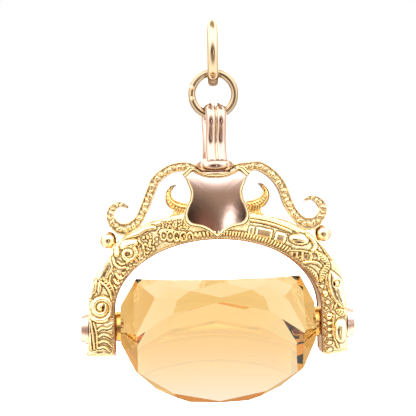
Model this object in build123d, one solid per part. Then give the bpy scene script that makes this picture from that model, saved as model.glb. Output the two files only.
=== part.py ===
from build123d import *
import os
from math import asin, atan2, cos, degrees, pi, radians, sin, sqrt

# A gold spinner fob: a chased yoke that hangs from two rings and carries a turning faceted stone.
# Millimetres, +Z up, front towards -Y, pivot axis along X.
# The origin is the inner top of the top ring, where a watch chain bears.

# Top ring, seen edge-on from the front
top_ring_outer_diameter = 8.03
top_ring_wire_width = 1.28
top_ring_wire_thickness = 1.02

# Link ring, facing the front
link_ring_outer_diameter = 5.63
link_ring_wire_diameter = 0.87
ring_gap = 0.1
ring_turn = -3.0

# Bail, a loop of two ribs
bail_rib_width = 1.2
bail_rib_thickness = 0.86
bail_rib_spacing = 1.12
bail_loop_inner_radius = 0.95
bail_foot_spread = 0.55
bail_drop = 4.85
bail_seat_share = 0.25
bail_gap = 0.15
bail_turn = 7.0

# Collar under the bail, and the neck between it and the yoke
collar_diameter = 4.4
collar_height = 1.4
collar_rounding = 0.55
neck_diameter = 3.2
neck_height = 4.2

# Yoke
yoke_thickness_at_crown = 3.2
yoke_leg_width = 2.85
yoke_depth = 4.3
yoke_edge_width = 0.22
yoke_edge_height = 0.25
inner_roundness = 2.02
outer_roundness = 2.25
leg_below_pivot = 3.1
leg_end_rounding = 0.5

# Relief on both faces of the yoke
boss_ball_share = 1.6
volute_wire = 0.5
volute_eye_share = 1 / 3
ridge_width = 0.32
ridge_length = 0.6
ridge_pitch = 0.78

# S-straps with curled ends, and the hooks beside the shield
strap_width = 0.92
strap_depth = 1.7
bead_diameter = 0.5
bead_pitch = 0.85
bead_row_share = 0.72
first_bead = 2
hook_width = 0.78
hook_depth = 1.4
ball_diameter = 1.9
ball_angle = 39.0
ball_lean = 50.0
ball_stand_share = 0.85
haunch_angle = 51.0

# Shield on the front of the crown, and the plain block behind it
shield_half_width = 3.63
shield_height = 7.9
shield_thickness = 0.55
shield_rim_width = 0.22
shield_rim_height = 0.1
block_share = 0.86
block_back = 1.3

# Stone, a three-sided barrel with a blunted edge between each two tables
table_count = 3
stone_half_length = 10.75
table_distance = 5.36
ridge_distance = 8.65
stone_clearance = 0.8
blank_share = 4.0

# Pivots and cups
pin_diameter = 1.0
pin_reach_in_stone = 1.3
pin_seat_clearance = 0.02
pin_running_clearance = 0.05
pin_end_clearance = 0.1
head_diameter = 3.4
head_thickness = 0.55
head_rounding = 0.2
head_base_diameter = 3.8
head_base_thickness = 0.35
head_seat_gap = 0.02
cup_diameter = 3.3
cup_thickness = 0.6
cup_rounding = 0.25
cup_gap = 0.06
cup_seat_gap = 0.01

# Rows along half of each blunted edge: place along the stone's half length, and distance as a share of the
# distance at the middle
ridge_profile = [
    (0.30, 1.00),
    (0.65, 0.82),
    (0.86, 0.53),
    (1.00, 0.21),
]
# Corners of a table's outline: place along the half length, and how far inside the blunted edge; the table's end
table_corners = [(0.0, 0.25), (0.475, 0.6), (0.755, 0.6)]
table_end = 0.835
table_end_share = 0.42

# Shield outline, half of it: share of the half width, share of the height down from the ears
shield_top = [(0.0, 0.114), (0.5, 0.06), (0.95, 0.0)]
shield_side = [(1.0, 0.09), (0.77, 0.29), (0.9, 0.557), (0.97, 0.68)]
shield_foot = [(0.97, 0.68), (0.88, 0.765), (0.63, 0.829), (0.4, 0.85), (0.18, 0.905), (0.0, 1.0)]

# Centre line of a strap: share of the way out to the ball, share of the way down from the collar's top to the
# yoke's haunch, and share of the strap's width
strap_rows = [
    (0.17, 0.19, 1.0),
    (0.32, 0.115, 1.0),
    (0.41, 0.115, 1.0),
    (0.485, 0.172, 1.0),
    (0.55, 0.26, 1.0),
    (0.595, 0.37, 1.0),
    (0.635, 0.52, 1.0),
    (0.67, 0.65, 1.0),
    (0.71, 0.78, 1.0),
    (0.76, 0.9, 1.05),
    (0.82, 0.975, 1.1),
    (0.90, 0.975, 1.0),
    (0.965, 0.885, 0.9),
    (0.992, 0.761, 0.85),
    (0.962, 0.651, 0.75),
    (0.891, 0.599, 0.6),
    (0.819, 0.638, 0.3),
]
# Centre line of a hook: share of the shield's half width, and the other two as on the strap
hook_rows = [
    (0.6, 0.80, 1.3),
    (0.95, 0.735, 1.2),
    (1.22, 0.665, 1.1),
    (1.40, 0.60, 1.0),
    (1.48, 0.515, 0.9),
    (1.41, 0.424, 0.65),
    (1.25, 0.36, 0.25),
]
# Relief along a quarter of the yoke: angle up the arch, share of the way from the inner edge to the outer,
# and radius as a share of the leg's width
volute_rows = [(3.5, 0.5, 0.4), (43.0, 0.52, 0.33)]
boss_rows = [(13.0, 0.62, 0.16), (18.0, 0.42, 0.17), (24.0, 0.6, 0.17), (31.0, 0.38, 0.15), (55.0, 0.6, 0.16)]
foot_boss_share = 0.55
foot_boss_radius_share = 0.3
ridge_angles = (10.0, 76.0)
ridge_share = 0.14

# Heights that follow from the sizes above
top_ring_inner_radius = top_ring_outer_diameter / 2 - top_ring_wire_thickness
top_ring_bearing_z = -2 * top_ring_inner_radius
link_ring_wire_radius = link_ring_wire_diameter / 2
link_ring_inner_radius = link_ring_outer_diameter / 2 - link_ring_wire_diameter
link_ring_centre_radius = link_ring_inner_radius + link_ring_wire_radius
link_ring_z = top_ring_bearing_z + ring_gap - link_ring_inner_radius
link_bottom_wire_z = link_ring_z - link_ring_centre_radius
collar_top_z = link_bottom_wire_z - bail_drop
collar_bottom_z = collar_top_z - collar_height
crown_outer_z = collar_bottom_z - neck_height
crown_inner_z = crown_outer_z - yoke_thickness_at_crown

# The stone's corner at mid length, where a blunted edge meets a table, sets the room that the yoke leaves.
# The legs are straight from their ends up to the top of the cups.
table_turn = 360 / table_count
ridge_turn = table_turn / 2
table_corner_offset = (ridge_distance - table_distance * cos(radians(ridge_turn))) / sin(radians(ridge_turn))
stone_reach = sqrt(table_distance**2 + table_corner_offset**2)
pivot_z = crown_inner_z - stone_reach - stone_clearance
spring_z = pivot_z + cup_diameter / 2
inner_rise = crown_inner_z - spring_z
outer_rise = crown_outer_z - spring_z
leg_inner_x = stone_half_length + cup_seat_gap + cup_thickness + cup_gap
leg_outer_x = leg_inner_x + yoke_leg_width
leg_bottom_z = pivot_z - leg_below_pivot
pin_radius = pin_diameter / 2


def flat_point(x, z):
    """A point of the upright plane through the yoke's middle."""
    return Vector(x, 0, z)


def arch_point(half_width, rise, roundness, angle):
    """Place on the right half of an arch, at an angle up from where the straight legs end."""
    across = half_width * max(cos(radians(angle)), 0) ** (2 / roundness)
    height = rise * sin(radians(angle)) ** (2 / roundness)
    return across, spring_z + height


def yoke_place(angle, share):
    """Place on the right half of the yoke's face, between its inner edge and its outer edge."""
    inner = arch_point(leg_inner_x, inner_rise, inner_roundness, angle)
    outer = arch_point(leg_outer_x, outer_rise, outer_roundness, angle)
    return tuple(a + (b - a) * share for a, b in zip(inner, outer))


def slab(edges, front, back):
    """The solid inside a flat outline, from the Y of its front to the Y of its back."""
    face = Face(Wire([edge for line in edges for edge in line.edges()]))
    return Pos(0, front, 0) * extrude(face, amount=back - front, dir=(0, 1, 0))


def arch_curve(half_width, rise, roundness):
    """The whole arch, as two halves that each run from a leg up to the crown."""
    step = 10
    halves = []
    for side in (-1, 1):
        places = [arch_point(half_width, rise, roundness, angle) for angle in range(0, 91, step)]
        points = [flat_point(side * x, z) for x, z in places]
        halves.append(Spline(points, tangents=[(0, 0, 1), (-side, 0, 0)]))
    return halves


def arch_slab(inset, depth):
    """The yoke's outline, drawn in by an inset on every side, at a depth."""
    inner_x = leg_inner_x + inset
    outer_x = leg_outer_x - inset
    foot_z = leg_bottom_z + inset
    edges = arch_curve(inner_x, inner_rise + inset, inner_roundness)
    edges += arch_curve(outer_x, outer_rise - inset, outer_roundness)
    for side in (-1, 1):
        corners = [(inner_x, spring_z), (inner_x, foot_z), (outer_x, foot_z), (outer_x, spring_z)]
        edges.append(Polyline([flat_point(side * x, z) for x, z in corners]))
    arch = slab(edges, -depth / 2, depth / 2)
    feet = arch.edges().filter_by(Axis.Y).group_by(Axis.Z)[0]
    return fillet(feet, leg_end_rounding)


def yoke_arch():
    """The band of the yoke with its two legs: a plain edge all round, and a face that stands out from it."""
    return arch_slab(0, yoke_depth - 2 * yoke_edge_height) + arch_slab(yoke_edge_width, yoke_depth)


def bead(x, y, z, radius):
    """A ball whose poles point to the front and back and whose seam is on its outer side."""
    turn = 0 if x > 0 else 180
    return Pos(x, y, z) * Rot(0, 0, turn) * Rot(90, 0, 0) * Sphere(radius)


def band(rows, width, depth, side):
    """A flat band that follows a centre line. Each row gives a place and a share of the width."""
    left_edge = []
    right_edge = []
    for i, (x, z, share) in enumerate(rows):
        before = rows[max(i - 1, 0)]
        after = rows[min(i + 1, len(rows) - 1)]
        along = Vector(after[0] - before[0], 0, after[1] - before[1]).normalized()
        offset = Vector(-along.Z, 0, along.X) * (width * share / 2)
        centre = flat_point(x, z)
        left_edge.append(centre + offset)
        right_edge.append(centre - offset)
    edges = [
        Spline(left_edge),
        Line(left_edge[-1], right_edge[-1]),
        Spline(right_edge[::-1]),
        Line(right_edge[0], left_edge[0]),
    ]
    solid = slab(edges, -depth / 2, depth / 2)
    return solid if side > 0 else mirror(solid, about=Plane.YZ)


def boss(x, z, radius, face):
    """A low round boss on a flat face whose Y is given. Its ball is a little wider than the boss."""
    ball_radius = boss_ball_share * radius
    sunk = sqrt(ball_radius**2 - radius**2)
    y = face - sunk if face > 0 else face + sunk
    return bead(x, y, z, ball_radius)


def yoke_relief():
    """Volutes, bosses and rope ridges on both faces of both legs."""
    pieces = []
    wire = volute_wire / 2
    inner_length = pi / 2 * (leg_inner_x + inner_rise) / 2
    span = (ridge_angles[1] - ridge_angles[0]) / 90
    ridge_count = int(inner_length * span / ridge_pitch)
    for face in (-yoke_depth / 2, yoke_depth / 2):
        for side in (-1, 1):
            for angle, share, radius_share in volute_rows:
                x, z = yoke_place(angle, share)
                radius = radius_share * yoke_leg_width
                ring = Rot(90, 0, 0) * Torus(radius - wire, wire)
                pieces.append(Pos(side * x, face, z) * ring)
                pieces.append(boss(side * x, z, volute_eye_share * radius, face))
            for angle, share, radius_share in boss_rows:
                x, z = yoke_place(angle, share)
                pieces.append(boss(side * x, z, radius_share * yoke_leg_width, face))
            foot_x = (leg_inner_x + leg_outer_x) / 2
            foot_z = pivot_z - foot_boss_share * leg_below_pivot
            pieces.append(boss(side * foot_x, foot_z, foot_boss_radius_share * yoke_leg_width, face))
            for i in range(ridge_count):
                angle = ridge_angles[0] + (ridge_angles[1] - ridge_angles[0]) * i / (ridge_count - 1)
                x, z = yoke_place(angle, ridge_share)
                outward = yoke_place(angle, 1.0)
                tilt = degrees(atan2(outward[0] - x, outward[1] - z))
                ridge = Rot(0, side * tilt, 0) * Cylinder(ridge_width / 2, ridge_length)
                pieces.append(Pos(side * x, face, z) * ridge)
    return pieces


def haunch():
    """Place on the yoke's outer edge where the straps come down."""
    return arch_point(leg_outer_x, outer_rise, outer_roundness, haunch_angle)


def ball_place():
    """Centre of the ball, seated a little way into the yoke's outer edge."""
    x, z = arch_point(leg_outer_x, outer_rise, outer_roundness, ball_angle)
    reach = ball_stand_share * ball_diameter / 2
    return x + reach * cos(radians(ball_lean)), z + reach * sin(radians(ball_lean))


def strap_lines():
    """The straps' centre line in real places."""
    ball_x = ball_place()[0]
    drop = collar_top_z - haunch()[1]
    return [(across * ball_x, collar_top_z - down * drop, share) for across, down, share in strap_rows]


def straps():
    """Both S-straps, with a row of beads on each face."""
    rows = strap_lines()
    centre = Spline([flat_point(x, z) for x, z, share in rows])
    pieces = [band(rows, strap_width, strap_depth, side) for side in (-1, 1)]
    beads = int(centre.length * bead_row_share / bead_pitch)
    for i in range(first_bead, beads):
        place = centre @ (bead_row_share * i / beads)
        for side in (-1, 1):
            for face in (-strap_depth / 2, strap_depth / 2):
                pieces.append(bead(side * place.X, face, place.Z, bead_diameter / 2))
    return pieces


def hooks():
    """The two small hooks beside the shield."""
    drop = collar_top_z - haunch()[1]
    rows = [(across * shield_half_width, collar_top_z - down * drop, share) for across, down, share in hook_rows]
    return [band(rows, hook_width, hook_depth, side) for side in (-1, 1)]


def balls():
    """The balls in the angle between the curls and the yoke."""
    x, z = ball_place()
    return [bead(side * x, 0, z, ball_diameter / 2) for side in (-1, 1)]


def shield_outline(share):
    """The shield's outline, grown or shrunk about its middle by a share."""
    middle_z = crown_inner_z + shield_height / 2
    top_z = middle_z + share * shield_height / 2
    edges = []
    for side in (-1, 1):
        scale_x = side * share * shield_half_width
        scale_z = share * shield_height
        for row in (shield_top, shield_side, shield_foot):
            edges.append(Spline([flat_point(scale_x * x, top_z - scale_z * down) for x, down in row]))
        ear = [shield_top[-1], shield_side[0]]
        edges.append(Line(*[flat_point(scale_x * x, top_z - scale_z * down) for x, down in ear]))
    return edges


def shield():
    """The plain shield with its thin raised rim, and the block that carries it."""
    back = -yoke_depth / 2
    front = back - shield_thickness
    plate = slab(shield_outline(1.0), front, back)
    inner_share = 1 - shield_rim_width / shield_half_width
    recess = slab(shield_outline(inner_share), front, front + shield_rim_height)
    block = slab(shield_outline(block_share), back, block_back)
    return [plate - recess, block]


def collar_and_neck():
    """The round collar under the bail, and the neck that joins it to the yoke."""
    collar_mid_z = (collar_top_z + collar_bottom_z) / 2
    collar = Pos(0, 0, collar_mid_z) * Cylinder(collar_diameter / 2, collar_height)
    collar = fillet(collar.edges().filter_by(GeomType.CIRCLE), collar_rounding)
    neck_top_z = collar_mid_z
    neck_bottom_z = crown_outer_z - yoke_thickness_at_crown / 2
    neck = Cylinder(neck_diameter / 2, neck_top_z - neck_bottom_z)
    return [collar, Pos(0, 0, (neck_top_z + neck_bottom_z) / 2) * neck]


def rib_lift():
    """How far above the link's wire axis a rib's centre line passes, so that the rib clears the ring."""
    most = 0
    steps = 40
    for i in range(steps):
        off = bail_rib_width / 2 * (2 * i / steps - 1)
        x = bail_rib_spacing / 2 + off
        ring_top = link_ring_centre_radius - sqrt(link_ring_inner_radius**2 - x**2)
        under = bail_rib_thickness / 2 * sqrt(1 - (off / (bail_rib_width / 2)) ** 2)
        most = max(most, ring_top + under)
    return most + bail_gap


def bail():
    """Two ribs side by side, each a loop over the link ring whose legs run down to the collar."""
    loop_radius = bail_loop_inner_radius + bail_rib_thickness / 2
    loop_z = link_bottom_wire_z + rib_lift() - loop_radius
    foot_z = collar_top_z - bail_seat_share * collar_height
    reach = sqrt(bail_foot_spread**2 + (loop_z - foot_z) ** 2)
    lean = asin(loop_radius / reach) - atan2(bail_foot_spread, loop_z - foot_z)
    side_y = loop_radius * cos(lean)
    side_z = loop_z + loop_radius * sin(lean)
    pieces = []
    for side in (-1, 1):
        x = side * bail_rib_spacing / 2
        foot = Vector(x, -bail_foot_spread, foot_z)
        left = Vector(x, -side_y, side_z)
        crown = Vector(x, 0, loop_z + loop_radius)
        right = Vector(x, side_y, side_z)
        path = Wire([Line(foot, left), ThreePointArc(left, crown, right),
                     Line(right, Vector(x, bail_foot_spread, foot_z))])
        section_plane = Plane(origin=foot, x_dir=(1, 0, 0), z_dir=left - foot)
        rib = sweep(section_plane * Ellipse(bail_rib_width / 2, bail_rib_thickness / 2), path=path)
        pieces.append(Rot(0, 0, bail_turn) * rib)
    return pieces


def leg_bore(side):
    """The hole for a pin through one leg."""
    length = 2 * yoke_leg_width
    bore = Rot(0, 90, 0) * Cylinder(pin_radius + pin_seat_clearance, length)
    return Pos(side * (leg_inner_x + leg_outer_x) / 2, 0, pivot_z) * bore


def frame():
    """Everything that is soldered together, as one solid."""
    pieces = yoke_relief() + straps() + hooks() + balls() + shield() + collar_and_neck() + bail()
    return yoke_arch() + pieces - leg_bore(-1) - leg_bore(1)


def pivot(side):
    """A rivet head on the outside of a leg, with its pin through the leg, the cup and into the stone."""
    seat_x = leg_outer_x + head_seat_gap
    base = Pos(0, 0, head_base_thickness / 2) * Cylinder(head_base_diameter / 2, head_base_thickness)
    disc = Pos(0, 0, head_base_thickness + head_thickness / 2) * Cylinder(head_diameter / 2, head_thickness)
    disc = fillet(disc.edges().group_by(Axis.Z)[-1], head_rounding)
    pin_length = seat_x - (stone_half_length - pin_reach_in_stone)
    pin = Pos(0, 0, -pin_length / 2) * Cylinder(pin_radius, pin_length)
    return Pos(side * seat_x, 0, pivot_z) * Rot(0, side * 90, 0) * (base + disc + pin)


def cup(side):
    """The washer between a leg and the stone's end."""
    washer = Cylinder(cup_diameter / 2, cup_thickness)
    washer = fillet(washer.edges().group_by(Axis.Z)[-1], cup_rounding)
    washer -= Cylinder(pin_radius + pin_running_clearance, 2 * cup_thickness)
    middle_x = stone_half_length + cup_seat_gap + cup_thickness / 2
    return Pos(side * middle_x, 0, pivot_z) * Rot(0, side * 90, 0) * washer


def radial(angle):
    """Direction across the stone's axis, at an angle from straight up towards the front."""
    return Vector(0, -sin(radians(angle)), cos(radians(angle)))


def cut_facet(stone, point, normal):
    """Take off what lies beyond a flat facet."""
    return split(stone, bisect_by=Plane(origin=point, z_dir=normal), keep=Keep.BOTTOM)


def ridge_reach(along):
    """Distance of a blunted edge's facets from the axis, at a share of the half length."""
    if along <= ridge_profile[0][0]:
        return ridge_distance
    for (a, r_a), (b, r_b) in zip(ridge_profile, ridge_profile[1:]):
        if along <= b:
            return ridge_distance * (r_a + (r_b - r_a) * (along - a) / (b - a))
    return ridge_distance * ridge_profile[-1][1]


def table_corner(end, corner, table_angle, turn):
    """Corner of a table's outline, on the side where the angle grows (turn 1) or falls (turn -1)."""
    along, inset = corner
    reach = ridge_reach(along) - table_distance * cos(radians(ridge_turn))
    offset = reach / sin(radians(ridge_turn)) - inset
    across = radial(table_angle) * table_distance + radial(table_angle + turn * 90) * offset
    return Vector(end * along * stone_half_length, 0, 0) + across


def ridge_facets(stone, ridge_angle):
    """The lozenges along one blunted edge and the facets between them and the two tables."""
    out = radial(ridge_angle)
    stone = cut_facet(stone, out * ridge_distance, out)
    for end in (-1, 1):
        for (a, r_a), (b, r_b) in zip(ridge_profile, ridge_profile[1:]):
            point = Vector(end * a * stone_half_length, 0, 0) + out * (r_a * ridge_distance)
            rise = (r_a - r_b) * ridge_distance
            run = (b - a) * stone_half_length
            stone = cut_facet(stone, point, Vector(end * rise, 0, 0) + out * run)
        for k in range(len(table_corners) - 1):
            along, share = ridge_profile[k]
            top = Vector(end * along * stone_half_length, 0, 0) + out * (share * ridge_distance)
            for turn in (-1, 1):
                table_angle = ridge_angle - turn * ridge_turn
                first = table_corner(end, table_corners[k], table_angle, turn)
                second = table_corner(end, table_corners[k + 1], table_angle, turn)
                normal = (first - top).cross(second - top)
                if normal.dot(out) < 0:
                    normal = -normal
                stone = cut_facet(stone, top, normal)
    return stone


def citrine():
    """The faceted stone about its own axis, drilled from both ends, then set on the pivot axis."""
    blank = blank_share * stone_reach
    stone = Box(2 * stone_half_length, blank, blank)
    for i in range(table_count):
        out = radial(i * table_turn)
        stone = cut_facet(stone, out * table_distance, out)
        for end in (-1, 1):
            point = Vector(end * table_end * stone_half_length, 0, 0) + out * table_distance
            rise = (1 - table_end_share) * table_distance
            run = (1 - table_end) * stone_half_length
            stone = cut_facet(stone, point, Vector(end * rise, 0, 0) + out * run)
    for i in range(table_count):
        stone = ridge_facets(stone, i * table_turn + ridge_turn)
    depth = pin_reach_in_stone + pin_end_clearance
    for side in (-1, 1):
        hole = Rot(0, 90, 0) * Cylinder(pin_radius + pin_running_clearance, 2 * depth)
        stone -= Pos(side * stone_half_length, 0, 0) * hole
    return Pos(0, 0, pivot_z) * stone


def top_ring():
    """The oval-wire ring, standing in the plane across the fob."""
    centre_radius = top_ring_inner_radius + top_ring_wire_thickness / 2
    wire = Plane.XZ * Pos(centre_radius, 0) * Ellipse(top_ring_wire_thickness / 2, top_ring_wire_width / 2)
    ring = revolve(wire, axis=Axis.Z)
    return Pos(0, 0, -top_ring_inner_radius) * Rot(0, 0, ring_turn) * Rot(0, 90, 0) * ring


def link_ring():
    """The round-wire ring that faces the front."""
    ring = Rot(90, 0, 0) * Torus(link_ring_centre_radius, link_ring_wire_radius)
    return Pos(0, 0, link_ring_z) * Rot(0, 0, ring_turn) * ring


def save(name, shape):
    """Write one piece as a single solid."""
    solid = shape.solid()
    export_step(solid, f"parts/{name}.step")


os.makedirs("parts", exist_ok=True)
save("top_ring", top_ring())
save("link_ring", link_ring())
save("frame", frame())
save("citrine", citrine())
for side, side_name in ((-1, "left"), (1, "right")):
    save(f"pivot_{side_name}", pivot(side))
    save(f"cup_{side_name}", cup(side))
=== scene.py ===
import bmesh
import bpy
import math
import numpy as np
from mathutils import Matrix, Vector


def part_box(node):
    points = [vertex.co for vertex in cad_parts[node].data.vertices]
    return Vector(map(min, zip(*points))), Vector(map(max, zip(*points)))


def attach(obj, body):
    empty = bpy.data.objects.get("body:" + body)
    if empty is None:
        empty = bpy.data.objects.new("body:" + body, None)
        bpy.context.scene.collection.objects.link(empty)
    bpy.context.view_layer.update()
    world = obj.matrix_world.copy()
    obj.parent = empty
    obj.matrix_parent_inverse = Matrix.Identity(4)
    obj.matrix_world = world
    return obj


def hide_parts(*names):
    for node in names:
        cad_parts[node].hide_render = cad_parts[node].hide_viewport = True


# A gold spinner fob: a chased yoke that hangs from two rings and carries a turning faceted citrine.
# Places and sizes are millimetres in the shared frame, +Z up, front towards -Y. Meshes are made in metres.
MM = 0.001
# A width that is next to nothing, a step just inside an edge, and a distance beyond all forms
tiny = 1e-6
just_inside = 1e-4
far_away = 1e3

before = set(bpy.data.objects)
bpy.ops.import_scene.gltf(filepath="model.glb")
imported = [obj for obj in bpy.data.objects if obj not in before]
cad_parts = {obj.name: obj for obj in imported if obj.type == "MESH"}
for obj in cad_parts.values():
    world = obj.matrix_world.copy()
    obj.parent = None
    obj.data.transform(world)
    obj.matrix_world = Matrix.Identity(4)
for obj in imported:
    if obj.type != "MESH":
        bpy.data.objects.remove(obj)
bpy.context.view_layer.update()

# Camera: its turn round the object, height angle, roll, distance, the width seen at the object and the aim
camera_azimuth = -3.0
camera_elevation = 1.0
camera_roll = -1.12
camera_distance = 150.0
camera_view_width = 46.2
camera_aim = (-0.83, 0.0, -20.5)
camera_sensor = 36.0
camera_nearest = 1.0

# Yoke, the same driving sizes as the solid that it stands for
crown_outer_z = -20.665
crown_inner_z = -23.865
cup_gap = 0.06
yoke_face_y = 1.95
yoke_edge_y = 1.86
yoke_dome = 0.3
inner_rim_width = 0.2
inner_rim_lift = 0.1
inner_rim_blend = 0.06
inner_rim_tone = 0.35
edge_wire_radius = 0.085
edge_wire_sides = 10
# Painted shade along the bottom end of each leg: its strength and the height it fades over
foot_shade = 0.7
foot_shade_height = 0.6
right_foot_drop = 0.45
right_foot_drop_height = 2.0
right_foot_drop_slope = 0.7
outer_edge_rounding = 0.4
relief_edge_fade = 0.25
relief_foot_fade = 0.4
leg_end_rounding = 0.35
foot_flare = 0.32
foot_flare_z = -34.2
inner_roundness = 2.02
outer_roundness = 2.25
arch_steps = 900
foot_steps = 120
yoke_columns = 470
yoke_face_points = 70
yoke_side_points = 8
cavity_passes = 12
cavity_depth = 0.15

# Collar, neck, bail
collar_top_z = -15.065
collar_bottom_z = -16.465
collar_radius = 2.2
collar_rounding = 0.62
collar_steps = 25
neck_radius = 1.75
# Neck, down from the collar: how much wider than its radius, depth below the collar
neck_steps = [(0.0, -0.05), (0.28, 0.2), (0.0, 0.45)]
neck_draw = 0.2
neck_sunk = 0.6
turned_steps = 96
axis_radius = 0.01
bail_rib_width = 1.2
bail_rib_thickness = 1.0
bail_rib_spacing = 1.12
bail_loop_radius = 1.55
bail_web_width = 0.55
bail_web_thickness = 0.56
# Side of the bail, up from its foot: distance from the middle, share of the way up to the loop's middle
bail_side = [(1.6, 0.0), (1.33, 0.14), (1.1, 0.3), (0.97, 0.46), (1.04, 0.64), (1.26, 0.82), (1.5, 0.97)]
bail_crown_over_link = 1.42
bail_foot_sunk = 0.35
bail_crown_angles = (165, 15)
bail_crown_steps = 31
bail_spacing = 0.12
bail_section_points = 40
bail_turn = 7.0

# Straps, hooks and balls
strap_width = 1.02
strap_depth = 1.7
strap_rim_share = 0.2
strap_channel_depth = 0.22
strap_rim_height = 0.26
strap_bead_pitch = 0.54
strap_bead_radius = 0.25
strap_bead_height = 0.2
strap_bead_stretch = 0.8
# How the beads differ from one to the next: by how much, and how fast along the row
bead_slant = (0.45, 1.9)
bead_growth = (0.18, 2.7)
bead_shift = (0.08, 4.3)
bead_lift = (0.06, 3.1)
hook_width = 0.86
hook_depth = 1.7
hook_fall = 0.5
hook_grain_pitch = 0.34
hook_grain_radius = 0.13
hook_grain_depth = 0.1
hook_grain_place = 0.1
hook_grain_full_width = 0.4
root_depth = 2.6
root_fall = 0.45
root_rib_height = 0.22
root_rib_count = 2.5
root_rib_sway = 0.3
root_rib_sway_rate = 4
root_band_place = 1.35
root_band_half_width = 0.18
root_band_height = 0.18
ribbon_spacing = 0.05
ribbon_points = 34
thinnest_tip = 0.35
ball_radius = 0.95
ball_segments = (64, 32)
ball_places = {"left": (-11.95, 0, -23.8), "right": (11.95, 0, -23.55)}
solder_radius = 0.27
solder_places = {"upper": (-2.36, -0.3, -7.15), "lower": (-2.34, -0.3, -8.35)}

# Shield
shield_half_width = 3.63
shield_height = 7.9
shield_thickness = 0.55
shield_rim_width = 0.36
shield_dome = 0.2
shield_top_z = -16.85
shield_ear_rise = 1.5
shield_edge_fall = 0.34
shield_edge_width = 0.8
shield_sunk = 0.02
shield_back_y = -2.15
shield_middle_share = 0.55
shield_upright_share = 0.8
shield_outline_spacing = 0.012
shield_field_rings = 40
smallest_ring_share = 0.02
block_share = 0.86
block_overlap = 0.02
block_back_y = 1.3
# Right half of the shield's outline, top and side: share of the half width, share of the height
shield_top = [(0.0, 0.1), (0.29, 0.09), (0.52, 0.052), (0.72, 0.0), (0.81, 0.0)]
shield_side = [
    (1.03, 0.095), (0.93, 0.15), (0.87, 0.22), (0.81, 0.29), (0.79, 0.357), (0.82, 0.456), (0.91, 0.54),
    (0.985, 0.64), (1.0, 0.7), (0.955, 0.77), (0.84, 0.815), (0.66, 0.835), (0.48, 0.853), (0.27, 0.9),
    (0.1, 0.957), (0.0, 1.0),
]
# Section of the raised rim, from its outer to its inner wall: share of its width, lift over the plate's
# front, or None at the plate's back, and how much painted shade darkens it, 1 on the floor of its groove
rim_section = [
    (0.0, None, 0), (0.0, -0.12, 0), (0.06, -0.06, 0), (0.16, -0.04, 0), (0.26, -0.08, 0), (0.32, -0.22, 1),
    (0.44, -0.22, 1), (0.5, -0.02, 0), (0.62, 0.06, 0), (0.8, 0.06, 0), (0.94, 0.0, 0), (1.0, -0.06, 0),
    (1.0, None, 0),
]

# Centre lines of the straps, from the neck to the tip of the curl: x, z, share of the width
left_strap_rows = [
    (-2.2, -16.25, 1.0), (-3.1, -15.9, 1.0), (-3.96, -15.89, 1.0), (-4.9, -16.1, 1.0), (-5.86, -16.64, 1.0),
    (-6.65, -17.4, 1.0), (-7.06, -18.34, 1.0), (-7.41, -19.17, 1.0), (-7.76, -20.06, 1.0),
    (-8.16, -20.99, 1.0), (-8.62, -21.76, 1.05), (-9.47, -22.5, 1.3), (-10.47, -22.65, 1.35),
    (-11.3, -22.05, 1.1), (-11.67, -21.1, 0.9), (-11.32, -20.27, 0.75), (-10.54, -19.9, 0.55),
    (-9.65, -20.24, 0.25),
]
right_strap_rows = [
    (2.2, -16.25, 1.0), (2.95, -16.05, 1.0), (3.65, -16.01, 1.0), (4.71, -15.92, 1.0), (5.54, -16.27, 1.0),
    (6.3, -16.84, 1.0), (6.96, -17.57, 1.0), (7.45, -18.4, 1.0), (7.76, -19.3, 1.0), (8.13, -20.26, 1.0),
    (8.62, -21.15, 1.0), (9.21, -21.9, 1.1), (9.9, -22.4, 1.35), (10.7, -22.45, 1.4), (11.43, -21.95, 1.1),
    (11.94, -20.93, 0.9), (11.57, -20.04, 0.75), (10.69, -19.57, 0.5), (9.8, -19.89, 0.22),
]
# Centre lines of the hooks beside the shield, from the shield to the tip: x, z, share of the width
left_hook_rows = [
    (-3.2, -20.46, 1.3), (-3.76, -20.39, 1.3), (-4.42, -20.16, 1.3), (-4.92, -19.81, 1.16),
    (-5.18, -19.25, 0.92), (-5.15, -18.64, 0.72), (-4.81, -18.15, 0.38), (-4.33, -17.88, 0.08),
]
right_hook_rows = [
    (3.45, -20.4, 1.42), (4.12, -20.3, 1.42), (4.79, -20.1, 1.42), (5.3, -19.72, 1.22), (5.62, -19.16, 0.98),
    (5.58, -18.6, 0.72), (5.22, -18.1, 0.4), (4.78, -17.87, 0.08),
]
# Centre lines of the masses that carry the hooks, up from the yoke
left_root_rows = [(-4.2, -22.35, 2.3), (-4.15, -21.67, 2.0), (-4.05, -21.11, 1.75), (-4.0, -20.5, 1.6)]
right_root_rows = [(4.26, -22.45, 2.0), (4.28, -21.58, 1.75), (4.29, -20.91, 1.7), (4.36, -20.25, 1.5)]

# Relief
groove_depth = 0.2
groove_width = 0.08
bar_share = 0.4
cushion_width = 0.45
cushion_polish_edge = 0.05
loop_slimness = 1.45
volute_rim_share = 0.7
leaf_power = 0.75
ridge_power = 0.7
rib_slant = 1.4
stem_spacing = 0.12
ground_pitch = 0.27
ground_height = 0.13
row_bend = 1.3
row_bend_rate = 4.1
column_bend_rate = 5.3
strip_grain_pitch = 0.33
deepest_ground = 0.12
pebble_seed = 7
# Share of its height that each form already has at its edge
edge_share = {"volute": 0.1, "leaf": 0.35, "rib": 0.25, "boss": 0.3, "stem": 0.25, "loop": 0.2, "bar": 0.25,
              "plate": 0.5, "strip": 0.4}

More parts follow.
